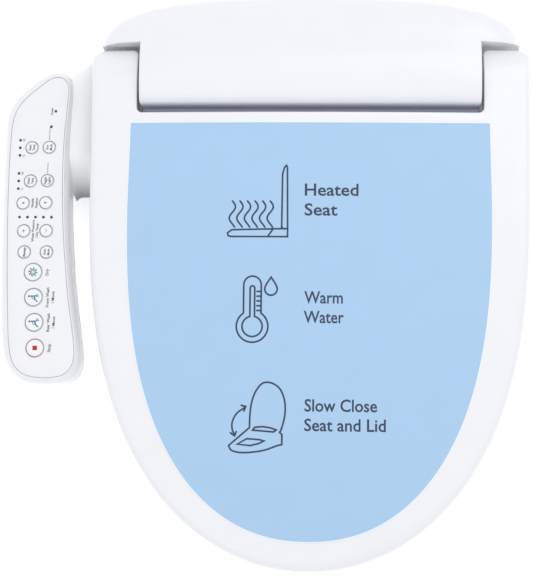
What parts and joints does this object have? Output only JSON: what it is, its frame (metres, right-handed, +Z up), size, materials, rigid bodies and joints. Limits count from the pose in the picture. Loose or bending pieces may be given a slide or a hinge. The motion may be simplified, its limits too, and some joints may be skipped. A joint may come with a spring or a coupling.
{
  "type": "electric bidet seat",
  "caption": "Electric bidet seat: a hinged lid and a heated ring seat on a rear housing with sliding wash nozzles, a dryer and a side control arm with push keys.",
  "frame": {"origin": "on the bowl rim plane, at the middle of the mounting plate's underside, midway between the two fixing bolts", "axes": "+Z up from the bowl rim, -Y from the hinge to the lid's tip (towards the user's knees), +X to the right as seen from the lid's tip looking at the housing, so the control arm is at -X"},
  "size_m": [0.5015, 0.531, 0.1125],
  "materials": {
    "white_shell": "white moulded plastic, semi-gloss",
    "lid_white": "white moulded plastic, gloss",
    "facia_white": "white printed panel, satin",
    "key_white": "white key caps with printed rings",
    "film_blue": "pale blue printed sheet, satin",
    "light_grey_plastic": "light grey moulded plastic",
    "nozzle_white": "smooth white plastic",
    "gear_white": "natural acetal",
    "black_plastic": "black moulded plastic",
    "grey_rubber": "soft grey rubber",
    "steel": "brushed stainless steel",
    "inlet_brass": "turned brass",
    "circuit_board": "green solder mask",
    "heater_foil": "copper-coloured heating foil",
    "clear_plastic": "clear moulding, seen as pale grey"
  },
  "bodies": {
    "base": {"base_tray": "white_shell", "top_cover": "white_shell", "arm_case": "white_shell", "arm_cover": "white_shell", "panel_facia": "facia_white", "mounting_plate": "light_grey_plastic", "nozzle_guide": "light_grey_plastic", "water_heater": "light_grey_plastic", "drain_plug": "light_grey_plastic", "inlet_valve": "gear_white", "blower_housing": "black_plastic", "air_duct": "black_plastic", "lid_damper": "black_plastic", "seat_damper": "black_plastic", "keypad": "grey_rubber", "cord_gland": "grey_rubber", "hinge_pin_left": "steel", "hinge_pin_right": "steel", "bolt_slider_left": "steel", "bolt_slider_right": "steel", "nozzle_motor_rear": "steel", "nozzle_motor_front": "steel", "inlet_filter": "steel", "water_inlet": "inlet_brass", "main_board": "circuit_board", "control_board": "circuit_board", "light_guide": "clear_plastic"},
    "seat": {"seat_top": "white_shell", "seat_base": "white_shell", "seat_heater": "heater_foil", "seat_bumper_front_left": "grey_rubber", "seat_bumper_front_right": "grey_rubber", "seat_bumper_rear_left": "grey_rubber", "seat_bumper_rear_right": "grey_rubber"},
    "lid": {"lid_shell": "lid_white", "lid_film": "film_blue", "lid_bumper_left": "grey_rubber", "lid_bumper_right": "grey_rubber"},
    "rear_nozzle": {"rear_wash_nozzle": "nozzle_white"},
    "front_nozzle": {"front_wash_nozzle": "nozzle_white"},
    "rear_pinion": {"nozzle_pinion_rear": "gear_white"},
    "front_pinion": {"nozzle_pinion_front": "gear_white"},
    "fan": {"blower_fan": "gear_white"},
    "release": {"release_button": "light_grey_plastic"},
    "key_stop": {"button_stop": "key_white"},
    "key_rear_wash": {"button_rear_wash": "key_white"},
    "key_front_wash": {"button_front_wash": "key_white"},
    "key_dryer": {"button_dryer": "key_white"},
    "key_massage": {"button_massage": "key_white"},
    "key_nozzle_position": {"button_nozzle_position": "key_white"},
    "key_pressure_up": {"button_pressure_up": "key_white"},
    "key_pressure_down": {"button_pressure_down": "key_white"},
    "key_nozzle_back": {"button_nozzle_back": "key_white"},
    "key_nozzle_forward": {"button_nozzle_forward": "key_white"},
    "key_water_temperature": {"button_water_temperature": "key_white"},
    "key_night_light": {"button_night_light": "key_white"},
    "key_seat_temperature": {"button_seat_temperature": "key_white"},
    "key_eco": {"button_eco": "key_white"}
  },
  "joints": [
    {"name": "seat_hinge", "type": "hinge", "parent": "base", "child": "seat", "pos_m": [0, -0.016, 0.078], "axis": [-1, 0, 0], "range_deg": [0, 98]},
    {"name": "lid_hinge", "type": "hinge", "parent": "seat", "child": "lid", "pos_m": [0, -0.016, 0.078], "axis": [1, 0, 0], "range_deg": [-100, 0]},
    {"name": "rear_nozzle_slide", "type": "slide", "parent": "base", "child": "rear_nozzle", "axis": [0, -0.848, -0.5299], "range_m": [0, 0.07]},
    {"name": "front_nozzle_slide", "type": "slide", "parent": "base", "child": "front_nozzle", "axis": [0, -0.848, -0.5299], "range_m": [0, 0.07]},
    {"name": "rear_pinion_spin", "type": "hinge", "parent": "base", "child": "rear_pinion", "pos_m": [0, -0.04176, 0.05459], "axis": [1, 0, 0], "range_deg": [-680, 0]},
    {"name": "front_pinion_spin", "type": "hinge", "parent": "base", "child": "front_pinion", "pos_m": [0, -0.04176, 0.05459], "axis": [1, 0, 0], "range_deg": [-680, 0]},
    {"name": "fan_spin", "type": "hinge", "parent": "base", "child": "fan", "pos_m": [-0.088, -0.004, 0.02], "axis": [0, 0, 1], "continuous": true},
    {"name": "release_press", "type": "slide", "parent": "base", "child": "release", "axis": [-1, 0, 0], "range_m": [0, 0.003], "stiffness_N_per_m": 300, "springref_m": -0.003},
    {"name": "stop_press", "type": "slide", "parent": "base", "child": "key_stop", "axis": [0, 0, -1], "range_m": [0, 0.0005], "stiffness_N_per_m": 400, "springref_m": -0.001},
    {"name": "rear_wash_press", "type": "slide", "parent": "base", "child": "key_rear_wash", "axis": [0, 0, -1], "range_m": [0, 0.0005], "stiffness_N_per_m": 400, "springref_m": -0.001},
    {"name": "front_wash_press", "type": "slide", "parent": "base", "child": "key_front_wash", "axis": [0, 0, -1], "range_m": [0, 0.0005], "stiffness_N_per_m": 400, "springref_m": -0.001},
    {"name": "dryer_press", "type": "slide", "parent": "base", "child": "key_dryer", "axis": [0, 0, -1], "range_m": [0, 0.0005], "stiffness_N_per_m": 400, "springref_m": -0.001},
    {"name": "massage_press", "type": "slide", "parent": "base", "child": "key_massage", "axis": [0, 0, -1], "range_m": [0, 0.0005], "stiffness_N_per_m": 400, "springref_m": -0.001},
    {"name": "nozzle_position_press", "type": "slide", "parent": "base", "child": "key_nozzle_position", "axis": [0, 0, -1], "range_m": [0, 0.0005], "stiffness_N_per_m": 400, "springref_m": -0.001},
    {"name": "pressure_up_press", "type": "slide", "parent": "base", "child": "key_pressure_up", "axis": [0, 0, -1], "range_m": [0, 0.0005], "stiffness_N_per_m": 400, "springref_m": -0.001},
    {"name": "pressure_down_press", "type": "slide", "parent": "base", "child": "key_pressure_down", "axis": [0, 0, -1], "range_m": [0, 0.0005], "stiffness_N_per_m": 400, "springref_m": -0.001},
    {"name": "nozzle_back_press", "type": "slide", "parent": "base", "child": "key_nozzle_back", "axis": [0, 0, -1], "range_m": [0, 0.0005], "stiffness_N_per_m": 400, "springref_m": -0.001},
    {"name": "nozzle_forward_press", "type": "slide", "parent": "base", "child": "key_nozzle_forward", "axis": [0, 0, -1], "range_m": [0, 0.0005], "stiffness_N_per_m": 400, "springref_m": -0.001},
    {"name": "water_temperature_press", "type": "slide", "parent": "base", "child": "key_water_temperature", "axis": [0, 0, -1], "range_m": [0, 0.0005], "stiffness_N_per_m": 400, "springref_m": -0.001},
    {"name": "night_light_press", "type": "slide", "parent": "base", "child": "key_night_light", "axis": [0, 0, -1], "range_m": [0, 0.0005], "stiffness_N_per_m": 400, "springref_m": -0.001},
    {"name": "seat_temperature_press", "type": "slide", "parent": "base", "child": "key_seat_temperature", "axis": [0, 0, -1], "range_m": [0, 0.0005], "stiffness_N_per_m": 400, "springref_m": -0.001},
    {"name": "eco_press", "type": "slide", "parent": "base", "child": "key_eco", "axis": [0, 0, -1], "range_m": [0, 0.0005], "stiffness_N_per_m": 400, "springref_m": -0.001}
  ],
  "couplings": [
    {"joint": "rear_pinion_spin", "follows": "rear_nozzle_slide", "rad_per_m": -166.67},
    {"joint": "front_pinion_spin", "follows": "front_nozzle_slide", "rad_per_m": -166.67}
  ]
}
